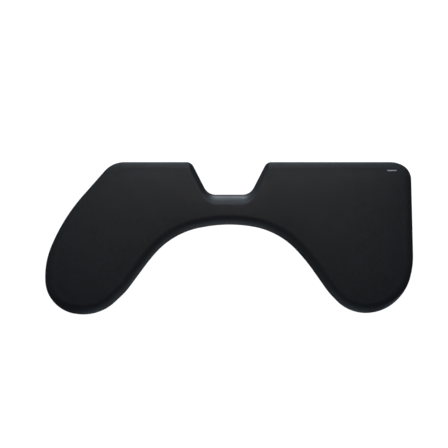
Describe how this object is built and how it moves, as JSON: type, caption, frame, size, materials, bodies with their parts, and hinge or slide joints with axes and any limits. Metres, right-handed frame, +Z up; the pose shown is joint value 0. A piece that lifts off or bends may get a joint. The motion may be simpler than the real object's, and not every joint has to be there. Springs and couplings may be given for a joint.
{
  "type": "desk forearm support pad",
  "caption": "Padded forearm support for a desk edge, with a body cut-out in front, a notch for a central mouse behind and screw clamps below.",
  "frame": {"origin": "on the desk top's plane, at the desk's front edge, on the middle of the mouse notch", "axes": "+X to the user's right, +Y across the desk away from the user, +Z up"},
  "size_m": [0.7497, 0.3111, 0.1271],
  "materials": {
    "leatherette": "matte, fine pebble grain",
    "foam": "open-cell foam",
    "plywood": "sanded, unfinished",
    "staple_wire": "galvanised",
    "zinc_plate": "bright zinc plate",
    "zinc_thread": "bright zinc plate",
    "panel_plastic": "fine spark texture",
    "black_screw": "black oxide",
    "pale_print": "screen print",
    "grip_rubber": "ribbed, matte",
    "bracket_paint": "black powder coat",
    "knob_plastic": "moulded, satin"
  },
  "bodies": {
    "support": {"cover": "leatherette", "foam_pad": "foam", "carrier_board": "plywood", "cover_staples": "staple_wire", "t_nuts": "zinc_plate", "bottom_panel": "panel_plastic", "panel_screws": "black_screw", "print_mark": "pale_print", "grip_strip_centre": "grip_rubber", "grip_strip_left_front": "grip_rubber", "grip_strip_left_back": "grip_rubber", "grip_strip_right_front": "grip_rubber", "grip_strip_right_back": "grip_rubber", "left_bracket": "bracket_paint", "left_bracket_bolts": "black_screw", "left_edge_liner": "grip_rubber", "left_clamp_nut": "zinc_plate", "right_bracket": "bracket_paint", "right_bracket_bolts": "black_screw", "right_edge_liner": "grip_rubber", "right_clamp_nut": "zinc_plate"},
    "left_foot": {"left_foot_plate": "zinc_plate", "left_foot_pad": "grip_rubber"},
    "left_spindle": {"left_clamp_screw": "zinc_thread", "left_knob": "knob_plastic"},
    "right_foot": {"right_foot_plate": "zinc_plate", "right_foot_pad": "grip_rubber"},
    "right_spindle": {"right_clamp_screw": "zinc_thread", "right_knob": "knob_plastic"}
  },
  "joints": [
    {"name": "left_foot_lift", "type": "slide", "parent": "support", "child": "left_foot", "axis": [0, 0, 1], "range_m": [-0.0201, 0.0101]},
    {"name": "left_screw_turn", "type": "hinge", "parent": "left_foot", "child": "left_spindle", "pos_m": [-0.236, 0.04, -0.05], "axis": [0, 0, 1], "range_deg": [-5760, 2880]},
    {"name": "right_foot_lift", "type": "slide", "parent": "support", "child": "right_foot", "axis": [0, 0, 1], "range_m": [-0.0201, 0.0101]},
    {"name": "right_screw_turn", "type": "hinge", "parent": "right_foot", "child": "right_spindle", "pos_m": [0.236, 0.04, -0.05], "axis": [0, 0, 1], "range_deg": [-5760, 2880]}
  ],
  "couplings": [
    {"joint": "left_foot_lift", "follows": "left_screw_turn", "m_per_rad": 0.00019894},
    {"joint": "right_foot_lift", "follows": "right_screw_turn", "m_per_rad": 0.00019894}
  ]
}
